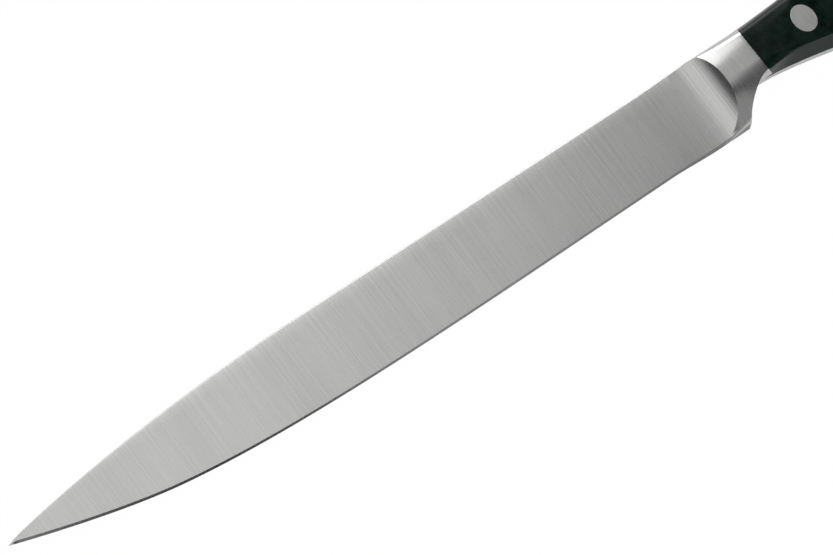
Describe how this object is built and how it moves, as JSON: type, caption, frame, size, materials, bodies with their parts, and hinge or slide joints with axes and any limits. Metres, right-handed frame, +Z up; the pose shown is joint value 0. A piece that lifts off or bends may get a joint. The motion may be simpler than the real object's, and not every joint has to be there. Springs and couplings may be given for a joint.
{
  "type": "fillet knife",
  "caption": "Slim forged fillet knife: long narrow pointed blade, flared steel bolster and full tang in one piece, with riveted black handle scales.",
  "frame": {"origin": "under the middle of the bounding box, on the plane of the right scale's flat side, which the knife lies on", "axes": "+X along the knife from tip to butt, +Y from edge to spine, +Z up out of the left side"},
  "size_m": [0.3274, 0.0242, 0.011],
  "materials": {
    "blade_steel": "satin, ground across the blade from spine to edge",
    "handle_black": "smooth moulded black, semi-gloss",
    "rivet_steel": "satin, ground flush with the scales"
  },
  "bodies": {
    "root": {"forged_blade": "blade_steel", "left_scale": "handle_black", "right_scale": "handle_black", "rivet_front_post": "rivet_steel", "rivet_front_sleeve": "rivet_steel", "rivet_middle_post": "rivet_steel", "rivet_middle_sleeve": "rivet_steel", "rivet_rear_post": "rivet_steel", "rivet_rear_sleeve": "rivet_steel"}
  },
  "joints": []
}
